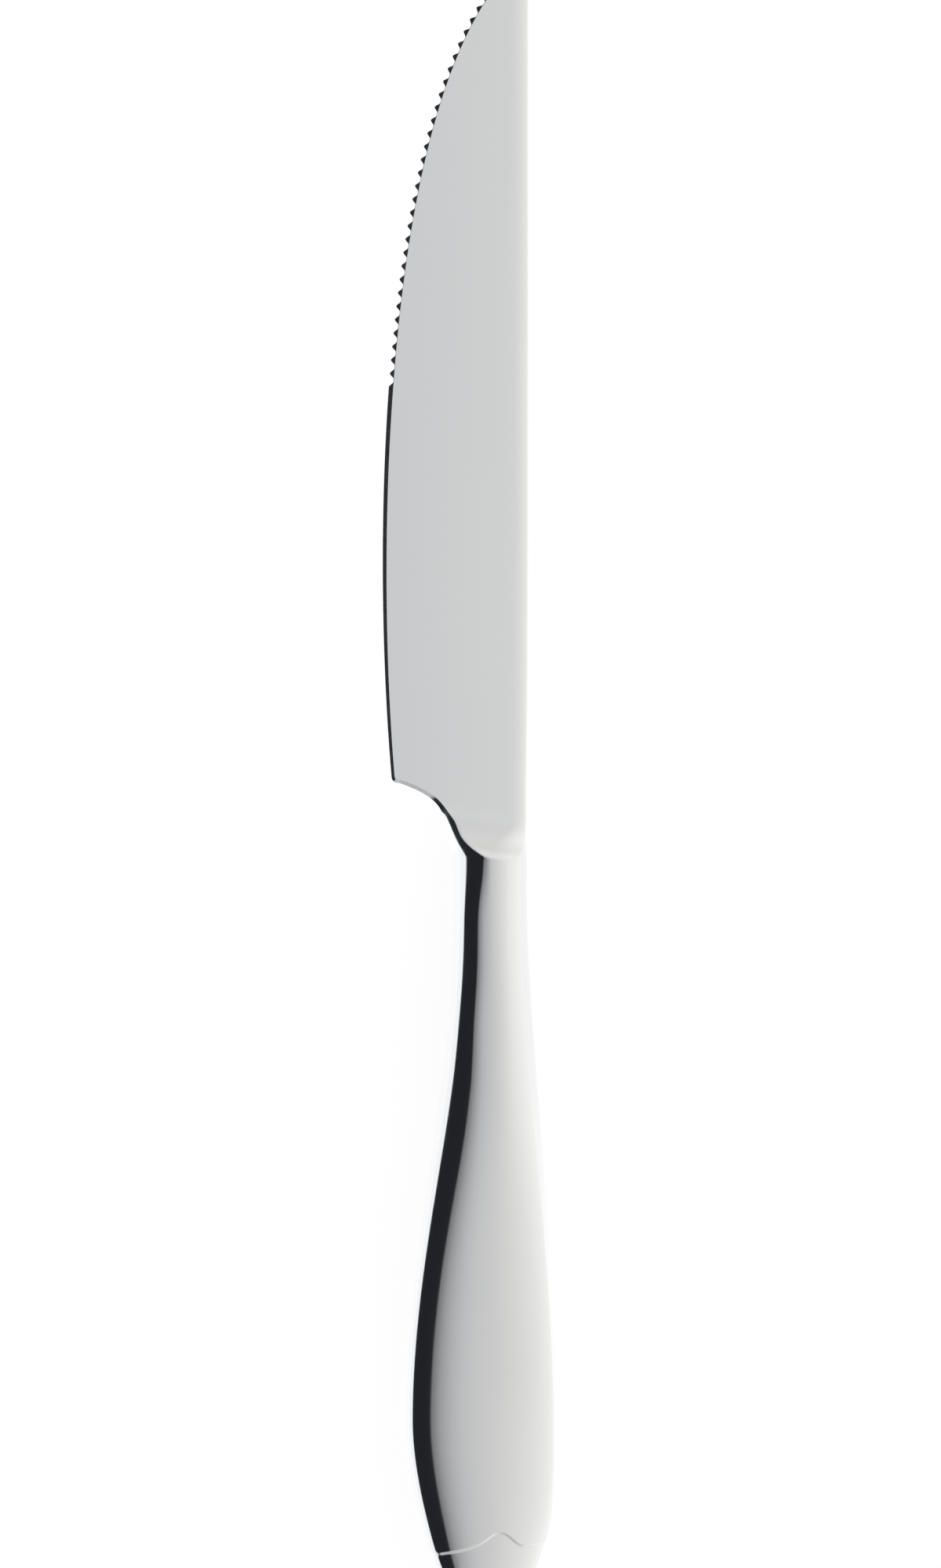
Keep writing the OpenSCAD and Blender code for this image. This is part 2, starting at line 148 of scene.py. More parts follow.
# Outline of the blade
edge_base_y = heel_y + heel_r
edge_control = np.array(
    [(spine_x - reach[0], mix(edge_base_y, tip_y, b)) for reach, (a, b) in zip(edge_reaches, edge_shares)]
)
heel_corner = np.array([edge_control[0][0], heel_y])
choil_top = heel_corner + [heel_r, 0]
choil_foot = np.array([neck_left_x, mouth_y + collar_l / 2])
choil_control = np.array(
    [(mix(choil_top[0], choil_foot[0], a), mix(choil_top[1], choil_foot[1], b)) for a, b in choil_shares]
)


def face_z(x):
    """Half thickness of the ground face, which is crowned by a hair."""
    share = np.clip((spine_x - x) / blade_w, 0, 1)
    return spine_t / 2 - (spine_x - x) * face_slope + 4 * FACE_CROWN * share * (1 - share)


def arc_table(points):
    """Running length along a polyline."""
    steps = np.linalg.norm(np.diff(points, axis=0), axis=1)
    return np.concatenate([[0], np.cumsum(steps)])


EDGE_POINTS, CHOIL_POINTS, CORNER_POINTS = 2001, 801, 12
fine_edge = bezier(edge_control, np.linspace(0, 1, EDGE_POINTS))
edge_run = arc_table(fine_edge)
edge_len = edge_run[-1]


def edge_at(s):
    """The edge by its running length from the heel."""
    return np.stack([np.interp(s, edge_run, fine_edge[:, k]) for k in (0, 1)], -1)


choil_t = np.linspace(0, 1, CHOIL_POINTS)
fine_choil = bezier(choil_control, choil_t)
corner_t = np.linspace(0, 1, CORNER_POINTS)[:, None]
corner = (
    (1 - corner_t) ** 2 * edge_control[0]
    + 2 * corner_t * (1 - corner_t) * heel_corner
    + corner_t**2 * choil_top
)
corner_run, choil_run = arc_table(corner), arc_table(fine_choil)


def low_width(run):
    """Width of the bevel by the running length past the edge, round the heel and down the choil."""
    whole = corner_run[-1] + np.interp(plate_end_share, choil_t, choil_run)
    return mix(heel_bevel_w, choil_bevel_w, np.clip(run / whole, 0, 1))


def left_x(y):
    """The silhouette on the edge side of the bolster."""
    return np.interp(-y, -fine_choil[:, 1], fine_choil[:, 0], right=neck_left_x)


def share_at(y):
    """How far down the choil a place is."""
    return np.interp(-y, -fine_choil[:, 1], choil_t)


def right_x(y):
    """The silhouette on the spine side of the bolster."""
    return mix(spine_at(y), neck_right_x, ease(share_at(y)))


# The ramp of the bolster
climb = neck_t / 2 - spine_t / 2
ramp_rad = math.radians(ramp_angle)
arc_l, arc_h = ramp_r * math.sin(ramp_rad), ramp_r * (1 - math.cos(ramp_rad))
ramp_l = arc_l + (climb - arc_h) / math.tan(ramp_rad)
skew = math.radians(ramp_skew)
ramp_start_y = (
    mouth_y + collar_l / 2 + ramp_l - (spine_x - (neck_left_x + neck_right_x) / 2) * math.tan(skew)
)


def ramp_z(x, y):
    """The ground face with its hollow ramp."""
    run = ((ramp_start_y + (spine_x - x) * math.tan(skew)) - y) * math.cos(skew)
    run = np.maximum(run, 0)
    arc = ramp_r - np.sqrt(np.maximum(ramp_r**2 - np.minimum(run, arc_l) ** 2, 0))
    return face_z(x) + arc + np.maximum(run - arc_l, 0) * math.tan(ramp_rad)


def dome(u, power=2.0):
    """Height of a superellipse of height 1 at the share u of its half width."""
    return np.maximum(1 - np.clip(u, 0, 1) ** power, 0) ** (1 / power)


def crest_lift(d, across):
    """The crest of the handle's front part lies a little towards the spine."""
    lift = CREST_LIFT * (1 - rise(d, *CREST_FADE))
    shape = rise(across, *CREST_RISE) * (1 - rise(across, *CREST_FALL))
    return 1 + lift * (shape - CREST_LEVEL)


def bolster_side(x, y, dist):
    """The bolster's side: it swells on the edge side and is full on the spine side."""
    swell_l = bolster_l * choil_swell_share
    share = rise(y, mouth_y + swell_l, -swell_l)
    left_t = neck_t / 2 * mix(choil_side_share, 1, share) * (1 - SIDE_DIP * bump(y, DIP_Y, DIP_HALF))
    reach = neck_w / 2
    power = mix(2, mouth_power, rise(share_at(y), *SIDE_CREST))
    on_left = dome(1 - dist / reach, power)
    on_right = dome((x - right_x(y)) / reach + 1)
    lean = rise(dist / reach, *SIDE_LEAN)
    lift = crest_lift(0.0, (x - (left_x(y) + right_x(y)) / 2) / reach)
    lift = mix(1, lift, rise(y, mouth_y + CREST_AHEAD, -CREST_AHEAD_L))
    return mix(left_t, neck_t / 2, lean) * on_left * on_right * lift


# Every fourth point of the choil will do, and the rim goes on past the mouth
RIM_STRIDE, RIM_PAST_MOUTH = 4, 5


def rim_distance(x, y):
    """Distance from the outline of the choil and the neck."""
    seg = np.concatenate([fine_choil[::RIM_STRIDE], [(neck_left_x, mouth_y - RIM_PAST_MOUTH)]])
    out = np.full(x.shape, np.inf)
    for a, b in zip(seg[:-1], seg[1:]):
        d = b - a
        t = np.clip(((x - a[0]) * d[0] + (y - a[1]) * d[1]) / (d @ d), 0, 1)
        out = np.minimum(out, np.hypot(x - a[0] - t * d[0], y - a[1] - t * d[1]))
    return out


def corner_drop(x, right, reach, height):
    """How far the rounding of the spine lies under the face."""
    u = np.clip((x - (right - reach)) / reach, 0, 1)
    return height * (1 - np.sqrt(np.maximum(1 - u * u, 0)))


# Meshes


MERGE = 1e-5  # vertices in the same cell of this grid, in mm, become one


class Build:
    """Vertices in millimetres, faces with their material slots, and the edges that stay sharp."""

    def __init__(self):
        self.verts, self.faces, self.slots, self.sharp, self.count = [], [], [], [], 0

    def add(self, points):
        points = np.asarray(points, float).reshape(-1, 3)
        first = self.count
        self.verts.append(points)
        self.count += len(points)
        return np.arange(first, self.count)

    def quads(self, ids, flip=False, slot=0):
        a, b, c, d = ids[:-1, :-1], ids[:-1, 1:], ids[1:, 1:], ids[1:, :-1]
        order = (a, b, c, d) if flip else (a, d, c, b)
        made = np.stack(order, -1).reshape(-1, 4)
        self.faces += made.tolist()
        slots = np.broadcast_to(np.asarray(slot), (ids.shape[0] - 1, ids.shape[1] - 1)).reshape(-1)
        self.slots += slots.tolist()

    def face(self, ids, slot=0):
        self.faces.append([int(i) for i in ids])
        self.slots.append(slot)

    def line(self, ids):
        ids = [int(i) for i in ids]
        self.sharp += list(zip(ids[:-1], ids[1:]))

    def make(self, name, materials):
        verts = np.concatenate(self.verts)
        keys = np.round(verts / MERGE).astype(np.int64)
        _, first, index = np.unique(keys, axis=0, return_index=True, return_inverse=True)
        index = index.reshape(-1)
        verts = verts[first] + [0, 0, mid_z]
        faces, slots = [], []
        for face, slot in zip(self.faces, self.slots):
            ring = [int(index[i]) for i in face]
            ring = [v for k, v in enumerate(ring) if v != ring[k - 1]]
            if len(set(ring)) > 2:
                faces.append(ring)
                slots.append(slot)
        mesh = bpy.data.meshes.new(name)
        mesh.from_pydata((verts / 1000).tolist(), [], faces)
        for m in materials:
            mesh.materials.append(m)
        mesh.polygons.foreach_set("use_smooth", [True] * len(faces))
        mesh.polygons.foreach_set("material_index", slots)
        mesh.validate()
        mesh.update()
        wanted = {tuple(sorted((int(index[a]), int(index[b])))) for a, b in self.sharp}
        for edge in mesh.edges:
            if tuple(sorted(edge.vertices)) in wanted:
                edge.use_edge_sharp = True
        obj = bpy.data.objects.new(name, mesh)
        bpy.context.scene.collection.objects.link(obj)
        return obj


# Columns of the plate: the face and the spine's rounding. Rows along the rim: the plain edge, one gullet, the
# plain tip, and the choil as far as the bolster
FACE_COLS, CORNER_COLS = 12, 8
PLAIN_ROWS, GULLET_ROWS, TIP_ROWS, CHOIL_ROWS = 55, 16, 15, 33
gullets = int((edge_len - tip_plain_l - plain_l) // tooth_pitch)
TANGENT_REACH = 0.2  # how far along the edge its direction is taken
# The bolster: where down the choil it starts, its columns, and the column that follows the ramp's crease
B_START, B_COLS = 0.47, 200
B_ROW_STEP, COLLAR_ROWS = 0.07, 5
CREASE_COL, MAX_CREASE, CREASE_SEARCH = 26, 0.22, 0.3
SHARP_RIM_ROWS, SHARP_CREASE_ROWS = 40, 14
CREASE_ROWS = (14, 20)  # rows past the heel over which the plate's rows turn to that crease
CREASE_REACH, SEARCH_STEPS = 3, 601  # how far in, and how finely, the crease is looked for


def rim_rows():
    """Rim point, inward normal, bevel width and gullet depth of each row, from the tip to B_START."""
    runs, depths = [], []
    for s in np.linspace(0, plain_l, PLAIN_ROWS + 1):
        runs.append(s)
        depths.append(0)
    for k in range(gullets):
        for u in np.linspace(-1, 1, GULLET_ROWS + 1)[1:]:
            runs.append(plain_l + (k + 0.5 + u / 2) * tooth_pitch)
            flank = rise(abs(u) * tooth_pitch, gullet_floor_w, tooth_pitch - gullet_floor_w)
            depths.append(gullet_depth * (1 - flank))
    last = plain_l + gullets * tooth_pitch
    for s in mix(last, edge_len, np.sin(np.linspace(0, math.pi / 2, TIP_ROWS + 1)))[1:]:
        runs.append(s)
        depths.append(0)
    runs, depths = np.array(runs), np.array(depths)
    points = edge_at(runs)
    ahead = edge_at(np.minimum(runs + TANGENT_REACH, edge_len))
    back = edge_at(np.maximum(runs - TANGENT_REACH, 0))
    along = back - ahead
    along /= np.linalg.norm(along, axis=1)[:, None]
    widths = mix(heel_bevel_w, bevel_w, np.clip((points[:, 1] - edge_base_y) / plain_l, 0, 1))
    edge = [a[::-1] for a in (points, along, widths, depths)]

    t = np.linspace(0, B_START, CHOIL_ROWS + 1)
    rest = np.concatenate([corner[1:-1], bezier(choil_control, t)])
    along = np.gradient(rest, axis=0)
    along[0] = rest[0] - edge_control[0]
    along /= np.linalg.norm(along, axis=1)[:, None]
    widths = low_width(np.concatenate([corner_run[1:-1], corner_run[-1] + np.interp(t, choil_t, choil_run)]))
    low = (rest, along, widths, np.zeros(len(rest)))
    points, along, widths, depths = [np.concatenate([a, b]) for a, b in zip(edge, low)]
    inward = np.stack([-along[:, 1], along[:, 0]], -1)
    return points, inward, widths, depths, len(edge[0])


rim, inward, width, depth, edge_rows = rim_rows()
b_left = rim[-1]
# The rows lean with the ramp and straighten at the mouth, and before the ramp their far ends are lifted
ROW_LEAN, ROW_STRAIGHT = (4.0, -7.0), (0.5, 3.8)
ROW_LIFT, LIFT_IN, LIFT_OUT = 3.2, (6.0, -6.0), (-3.0, 3.5)
BELLY_ROWS = (6, 20)  # from here towards the tip a row is level


def far_end(points):
    """The place on the spine that each row runs to."""
    y = points[:, 1]
    lean = rise(y, *ROW_LEAN) * rise(y - mouth_y, *ROW_STRAIGHT)
    lift = ROW_LIFT * rise(y, *LIFT_IN) * rise(y, *LIFT_OUT)
    return y - (spine_x - points[:, 0]) * math.tan(skew) * lean + lift


# On the belly a row starts level with the inner end of its bevel
level = rim[:, 1] + inward[:, 1] * width * rise(rim[:, 1], *BELLY_ROWS)
far_y = np.minimum.accumulate(np.minimum(far_end(rim) + level - rim[:, 1], tip_y))


def wide_bevel(p, n, w):
    """Width of the bevel where it runs up into the ramp."""
    x, y = p + n * w
    return w + (ramp_z(x, y) - face_z(x)) / bevel_slope


def crease_point(p, d, w):
    """Where the bevel meets the face on the way from a rim point."""
    t = np.linspace(0, CREASE_REACH, SEARCH_STEPS)
    x, y = p[0] + d[0] * t, p[1] + d[1] * t
    over = rim_distance(x, y) >= w + (ramp_z(x, y) - face_z(x)) / bevel_slope
    return p + d * t[over.argmax()]


def plate_row(i):
    """One row over the plate: wall, bevel, face, eased corner, wall."""
    p, n, w = rim[i], inward[i], width[i]
    spine = spine_at(far_y[i])
    far = np.array([spine, far_y[i]])
    land = face_z((p + n * w)[0]) - w * bevel_slope
    w = wide_bevel(p, n, w)
    reach = w if n[0] <= 0 else min(w, (spine - p[0]) / n[0])
    q = p + n * reach
    if i >= edge_rows:
        d = (far - p) / np.linalg.norm(far - p)
        q = mix(q, crease_point(p, d, width[i]), rise(i - edge_rows, *CREASE_ROWS))
    side = p + n * min(depth[i], reach)

    def top_of(x, y):
        return ramp_z(x, y) - corner_drop(x, spine, spine_round_w, spine_round_h)

    def bevel(a):
        return land + max(0, (a - p) @ n) * bevel_slope

    row = [(*side, 0)]
    for u in (0, 0.5):
        a = mix(side, q, u)
        row.append((*a, min(bevel(a), top_of(*a))))
    row.append((*q, min(bevel(q), top_of(*q)) if reach < w else ramp_z(*q)))
    start = np.array([max(q[0], spine - spine_round_w), 0])
    share = (start[0] - q[0]) / max(spine - q[0], 1e-9)
    start[1] = mix(q[1], far[1], share)
    for u in np.linspace(0, 1, FACE_COLS + 1)[1:]:
        a = mix(q, start, u)
        row.append((*a, min(ramp_z(*a), bevel(a)) if reach < w else ramp_z(*a)))
    for a in np.linspace(math.pi / 2, 0, CORNER_COLS + 1)[1:]:
        x = max(spine - spine_round_w + spine_round_w * math.cos(a), start[0])
        y = mix(start[1], far[1], (x - start[0]) / max(spine - start[0], 1e-9))
        z = top_of(x, y)
        row.append((x, y, min(z, bevel(np.array([x, y]))) if reach < w else z))
    row.append((spine, far[1], 0))
    return np.array(row)


def bolster_rows():
    """Left and right end of each row of the bolster."""
    left = [b_left[1]]
    while left[-1] > mouth_y + collar_l / 2 + B_ROW_STEP:
        left.append(left[-1] - B_ROW_STEP)
    left = left[:-1] + list(np.linspace(mouth_y + collar_l / 2, mouth_y, COLLAR_ROWS + 1))
    y = np.array(left)
    ends = np.stack([left_x(y), y], -1)
    ends_y = far_end(ends)
    ends_y[-1] = mouth_y
    return ends, np.stack([right_x(ends_y), ends_y], -1)


def bolster_forms(x, y, dist):
    """Heights of the bolster's own form and of the ramp that cuts it."""
    share = share_at(y)
    bevel = low_width(corner_run[-1] + np.interp(share, choil_t, choil_run))
    plate = face_z(x) + (dist - bevel) * bevel_slope
    side = bolster_side(x, y, dist)
    blend = rise(share, *OWN_FORM)
    # On the spine side the plate's eased corner grows into the neck
    grown = rise(-y, *NECK_ROUND)
    reach, height = mix(spine_round_w, NECK_ROUND_W, grown), mix(spine_round_h, NECK_ROUND_H, grown)
    drop = corner_drop(x, right_x(y), reach, height)
    middle = (left_x(y) + right_x(y)) / 2
    own = np.where(x < middle, mix(plate, side, blend), mix(neck_t, side, blend))
    return own, ramp_z(x, y) - drop


def bolster_height(x, y, dist):
    """The lower of the two forms, softly joined."""
    own, ramp = bolster_forms(x, y, dist)
    middle = (left_x(y) + right_x(y)) / 2
    soft = mix(SOFT_START, SOFT_SIDE, rise(share_at(y), B_START, SOFT_GROW))
    soft = soft + SOFT_SPINE * rise(x, middle, SOFT_INWARD) * rise(y, mouth_y, SOFT_MOUTH)
    return np.maximum(soft_min(own, ramp, soft), 0)


def bolster_shares(ends, far):
    """Where the bolster's columns lie on its rows: one follows the crease between its form and the ramp."""
    dense = np.linspace(0, CREASE_SEARCH, SEARCH_STEPS)
    x = ends[:, :1] + (far[:, :1] - ends[:, :1]) * dense
    y = ends[:, 1:] + (far[:, 1:] - ends[:, 1:]) * dense
    own, ramp = bolster_forms(x, y, rim_distance(x, y))
    over = own >= ramp
    crease = np.where(over.any(1), dense[over.argmax(1)], MAX_CREASE)
    crease = np.minimum(np.maximum.accumulate(crease), MAX_CREASE)[:, None]
    low = crease * (1 - np.cos(np.linspace(0, math.pi / 2, CREASE_COL + 1)))
    high = crease + (1 - crease) * np.sin(np.linspace(0, math.pi / 2, B_COLS - CREASE_COL + 1)[1:])
    return np.concatenate([low, high], 1)


def blade_mesh(materials):
    """Blade, bolster, plug and tang."""
    build = Build()
    ends, far = bolster_rows()
    share = bolster_shares(ends, far)
    x = ends[:, :1] + (far[:, :1] - ends[:, :1]) * share
    y = ends[:, 1:] + (far[:, 1:] - ends[:, 1:]) * share
    dist = rim_distance(x, y)
    z = bolster_height(x, y, dist)
    grid = np.stack([x, y, z], -1)
    # The walls at both ends
    floor_l, floor_r = grid[:, :1] * [1, 1, 0], grid[:, -1:] * [1, 1, 0]
    grid = np.concatenate([floor_l, grid, floor_r], 1)

    rows = np.array([plate_row(i) for i in range(len(rim) - 1)])
    cols = rows.shape[1]
    # The plate's columns meet these of the bolster's first row
    first = grid[0]
    shoulder = np.hypot(*(first[1:-1, :2] - first[0, :2]).T)
    d = (first[-1, :2] - first[0, :2]) / shoulder[-1]
    across = wide_bevel(b_left, inward[-1], width[-1]) / (d @ inward[-1])
    at = [0, 1, 1 + int(np.argmin(abs(shoulder - across / 2))), 1 + CREASE_COL]
    spine = first[-1, 0]
    round_start = spine - spine_round_w
    wanted = [mix(first[at[3], 0], round_start, u) for u in np.linspace(0, 1, FACE_COLS + 1)[1:]]
    turn = np.linspace(math.pi / 2, 0, CORNER_COLS + 1)[1:]
    wanted += [round_start + spine_round_w * math.cos(a) for a in turn]
    at += [1 + int(np.argmin(abs(first[1:-1, 0] - v))) for v in wanted]
    at.append(len(first) - 1)
    at = [max(v, k) for k, v in enumerate(at)]
    # Material slots: satin face, ground bevel, and the bolster's steel
    face_slot, bevel_slot, bolster_slot = 0, 1, 2
    col_slots = np.full(cols - 1, face_slot)
    col_slots[:3] = bevel_slot

    for sign in (1, -1):
        flip = sign < 0
        top = build.add(rows * [1, 1, sign]).reshape(rows.shape[:2])
        low = build.add(grid * [1, 1, sign]).reshape(grid.shape[:2])
        build.quads(top, flip, col_slots[None, :])
        build.quads(low, flip, bolster_slot)
        for j in range(cols - 1):
            chain = list(low[0, at[j] : at[j + 1] + 1])
            ring = [top[-1, j], *chain, top[-1, j + 1]]
            build.face(ring if not flip else ring[::-1], int(col_slots[j]))
        build.line(top[:, 1])
        build.line(top[:, 3])
        build.line([top[-1, 1], low[0, 1]])
        build.line([top[-1, 3], low[0, at[3]]])
        build.line(low[:SHARP_RIM_ROWS, 1])
        build.line(low[:SHARP_CREASE_ROWS, 1 + CREASE_COL])
        # The mouth, where the plug goes on inside the handle
        build.line(low[-1])
        # The plug, seen only with the handle off
        angle = np.linspace(math.pi, 0, B_COLS + 1)
        inner = sheet_t + fit
        ring = np.stack(
            [
                neck_right_x - neck_w / 2 + (neck_w / 2 - inner) * np.cos(angle),
                np.full(angle.shape, mouth_y),
                sign * (neck_t / 2 - inner) * section(0.0, np.cos(angle)),
            ],
            -1,
        )
        plug = build.add(np.concatenate([ring, ring - [0, plug_l, 0]])).reshape(2, -1)
        build.quads(np.stack([low[-1, 1:-1], plug[0]]), flip, bolster_slot)
        build.quads(plug, flip, bolster_slot)
        build.line(plug[0])
        build.line(plug[1])
        end = [int(v) for v in plug[1]]
        build.face(end[::-1] if not flip else end, bolster_slot)
    # The tang starts inside the plug
    cx, half, overlap = neck_right_x - neck_w / 2, tang_t / 2, 1
    start, end_r = mouth_y - plug_l + overlap, tang_end_w / 2
    tip = mouth_y - tang_l + end_r
    turn = np.linspace(math.pi, 2 * math.pi, 17)
    outline = [(cx - tang_w / 2, start)]
    outline += [(cx + end_r * math.cos(a), tip + end_r * math.sin(a)) for a in turn]
    outline += [(cx + tang_w / 2, start)]
    up = build.add([(a, b, half) for a, b in outline])
    down = build.add([(a, b, -half) for a, b in outline])
    build.face(up, bolster_slot)
    build.face(down[::-1], bolster_slot)
    for k in range(len(outline)):
        m = (k + 1) % len(outline)
        build.face([up[k], down[k], down[m], up[m]], bolster_slot)
        build.line([up[k], up[m]])
        build.line([down[k], down[m]])
    return build.make("knife_blade", materials)


# Handle


def swell(d):
    """How far the handle has widened from the neck to the grip."""
    return rise(d, neck_l, handle_l - end_l - neck_l)


def thickness(d):
    """The handle is thickest in front of the grip."""
    back = rise(d, belly_d, handle_l - end_l - belly_d)
    return mix(mix(neck_t, belly_t, ease(d / belly_d)), grip_t, back)


def section(d, across):
    """Height of the section at a share of the half width: crested at the mouth, squarer at the grip."""
    crest = np.where(across < 0, mix(mouth_power, 2, ease(d / crest_l)), 2)
    power = crest + (grip_power - 2) * rise(d, belly_d, handle_l - end_l - belly_d)
    edge_side = sum(size * bump(d, middle, half) for size, middle, half in EDGE_FULLER)
    spine_side = SPINE_FULLER * rise(d, *FULLER_IN) * (1 - rise(d, *FULLER_OUT))
    spine_side = spine_side - SPINE_FLATTER * rise(d, *FLATTER)
    power = power + np.where(across < 0, edge_side, spine_side)
    return dome(abs(across), power) * crest_lift(d, across)


def end_turn(d, end_in):
    """How far into the rounded end a place is, where the end is end_in shorter."""
    return np.maximum(0, (d - (handle_l - end_l)) / (end_l - end_in))


def round_off(v, power):
    """What the rounded end leaves of a width or a thickness."""
    return np.sqrt(np.maximum(1 - v**power, end_flat_share**2))


def half_w(d, side_in, end_in):
    return (mix(neck_w, grip_w, swell(d)) / 2 - side_in) * round_off(end_turn(d, end_in), 2)


def half_t(d, side_in, end_in):
    return (thickness(d) / 2 - side_in) * round_off(end_turn(d, end_in), end_bluntness)


def centre_x(d):
    return mix(
        neck_right_x - neck_w / 2,
        spine_x + grip_rise - grip_w / 2,
        rise(d, lean_start, handle_l - end_l - lean_start),
    ) + end_lean * ease(end_turn(d, 0) / end_lean_share)


def border(x):
    """The border's line across the handle: a slant with one peak."""
    long_side = 1 / (1 + ((peak_x - x) / peak_edge_w) ** 2)
    short_side = (1 + np.cos(math.pi * np.clip((x - peak_x) / peak_spine_w, 0, 1))) / 2
    return border_slant * x + peak_h * np.where(x < peak_x, long_side, short_side)


step_d = handle_l - border_l
NECK_ROWS, FRONT_ROWS, FADE_ROWS, STEP_ROWS, END_ROWS = 4, 83, 13, 14, 43
STEP_REACH, CLEAR_OF_STEP = 0.5, 1.0  # half the zone of fine rows at the step, and a distance well past it


def handle_rows():
    """Distance behind the mouth, share of the border's shape, and distance past the border, of each row."""
    fade = border_fade * peak_h
    start = step_d - fade
    d = [*np.linspace(0, neck_l, NECK_ROWS + 1)[:-1], *np.linspace(neck_l, start, FRONT_ROWS + 1)[:-1]]
    rows = [(v, 0.0, v - step_d) for v in d]
    near = [(mix(start, step_d - STEP_REACH, u), ease(u)) for u in np.linspace(0, 1, FADE_ROWS + 1)[:-1]]
    rows += [(v, share, -CLEAR_OF_STEP) for v, share in near]
    rows += [(step_d + v, 1.0, v) for v in np.linspace(-STEP_REACH, STEP_REACH, STEP_ROWS + 1)]
    turn = [math.sin(a) for a in np.linspace(0, math.pi / 2, END_ROWS + 1)[1:]]
    rows += [(mix(step_d + STEP_REACH, handle_l, u), (1 - u) ** 2, CLEAR_OF_STEP) for u in turn]
    return np.array(rows, float)


def skin(rows, angles, in_t):
    """A surface of the handle, in_t inside its outer one."""
    d0, warp, past = rows[:, :1], rows[:, 1:2], rows[:, 2:3]
    c = np.cos(angles)[None, :]
    inset = step_h * ease(past / (step_l * (1 + STEP_STRETCH * rise(-c, *STRETCH))) + 0.5)
    x = half_w(d0, 0, 0) * c
    d = (d0 - warp * border(x)) * (handle_l - in_t) / handle_l
    side_in = inset + in_t
    x = centre_x(d) + half_w(d, side_in, in_t) * c
    return np.stack([x, mouth_y - d, half_t(d, side_in, in_t) * section(d, c)], -1)


INNER_COLS, OUTER_PER_INNER = 20, 5


def half_mesh(name, sign, materials):
    """One half of the handle, with its wall."""
    build = Build()
    rows = handle_rows()
    outer_angles = np.linspace(math.pi, 0, INNER_COLS * OUTER_PER_INNER + 1)
    outer = skin(rows, outer_angles, 0) * [1, 1, sign]
    inner = skin(rows, np.linspace(math.pi, 0, INNER_COLS + 1), sheet_t) * [1, 1, sign]
    flip = sign < 0
    a = build.add(outer).reshape(outer.shape[:2])
    b = build.add(inner).reshape(inner.shape[:2])
    build.quads(a, flip)
    build.quads(b, not flip)
    # The seam on both sides
    build.quads(np.stack([b[:, 0], a[:, 0]], 1), flip)
    build.quads(np.stack([a[:, -1], b[:, -1]], 1), flip)
    for ids in (a[:, 0], a[:, -1], b[:, 0], b[:, -1], a[0], b[0]):
        build.line(ids)
    # The mouth: each inner step faces several outer ones
    for k in range(INNER_COLS):
        ring = [*a[0, OUTER_PER_INNER * k : OUTER_PER_INNER * (k + 1) + 1], b[0, k + 1], b[0, k]]
        build.face(ring if not flip else ring[::-1])
    # The small flat at the end, outside and inside, closed along the seam
    end_a, end_b = [int(v) for v in a[-1]], [int(v) for v in b[-1]]
    build.face(end_a[::-1] if not flip else end_a)
    build.face(end_b if not flip else end_b[::-1])
    ring = [a[-1, 0], b[-1, 0], b[-1, -1], a[-1, -1]]
    build.face(ring if not flip else ring[::-1])
    build.line([a[-1, 0], a[-1, -1]])
    build.line([b[-1, 0], b[-1, -1]])
    return build.make(name, materials)


# Finishes


class Nodes:
    """Shorthand for a node tree."""

    def __init__(self, tree):
        self.tree = tree
        tree.nodes.clear()

    def add(self, kind, settings=None, **inputs):
        node = self.tree.nodes.new(kind)
        for k, v in (settings or {}).items():
            setattr(node, k, v)
        for k, v in inputs.items():
            key = int(k[1:]) if k[0] == "i" and k[1:].isdigit() else k.replace("_", " ")
            self.set(node.inputs[key], v)
        return node

    def set(self, socket, value):
        if isinstance(value, bpy.types.NodeSocket):
            self.tree.links.new(value, socket)
        else:
            socket.default_value = value

    def math(self, op, a, b=0.0, c=None):
        node = self.add("ShaderNodeMath", {"operation": op}, i0=a, i1=b)
        if c is not None:
            self.set(node.inputs[2], c)
        return node.outputs[0]

    def map_range(self, settings, *values):
        node = self.add("ShaderNodeMapRange", settings)
        for name, value in zip(("Value", "From Min", "From Max", "To Min", "To Max"), values):
            self.set(node.inputs[name], value)
        return node.outputs[0]

    def smooth(self, value, low, high, to_low=0.0, to_high=1.0):
        return self.map_range({"interpolation_type": "SMOOTHSTEP"}, value, low, high, to_low, to_high)

    def linear(self, value, low, high, to_low=0.0, to_high=1.0):
        return self.map_range({"clamp": True}, value, low, high, to_low, to_high)

    def ramp(self, value, stops):
        """A colour ramp of (place, grey or colour) stops."""
        node = self.add("ShaderNodeValToRGB", i0=value)
        ramp = node.color_ramp
        while len(ramp.elements) > 1:
            ramp.elements.remove(ramp.elements[-1])
        for k, (at, v) in enumerate(stops):
            e = ramp.elements[0] if k == 0 else ramp.elements.new(at)
            e.position = at
            e.color = (v, v, v, 1) if isinstance(v, float) else (*v, 1)
        return node.outputs[0]

    def mix(self, share, a, b, blend="MIX"):
        node = self.add("ShaderNodeMix", {"data_type": "RGBA", "blend_type": blend}, Factor=share)
        self.set(node.inputs[6], a)
        self.set(node.inputs[7], b)
        return node.outputs[2]


def place_scale(n, scale):
    """Object coordinates, stretched."""
    at = n.add("ShaderNodeTexCoord").outputs["Object"]
    return n.add("ShaderNodeMapping", Vector=at, Scale=scale).outputs[0]


def noise(n, scale, detail, rough):
    at = place_scale(n, scale)
    return n.add("ShaderNodeTexNoise", Vector=at, Scale=1.0, Detail=detail, Roughness=rough).outputs["Fac"]


def finish_material(mat, n, shader, height, strength, distance):
    """Gives the shader its bump and links it to the output."""
    bumped = n.add("ShaderNodeBump", Strength=strength, Distance=distance, Height=height)
    n.tree.links.new(bumped.outputs[0], shader.inputs["Normal"])
    out = n.add("ShaderNodeOutputMaterial")
    n.tree.links.new(shader.outputs[0], out.inputs["Surface"])
    return mat


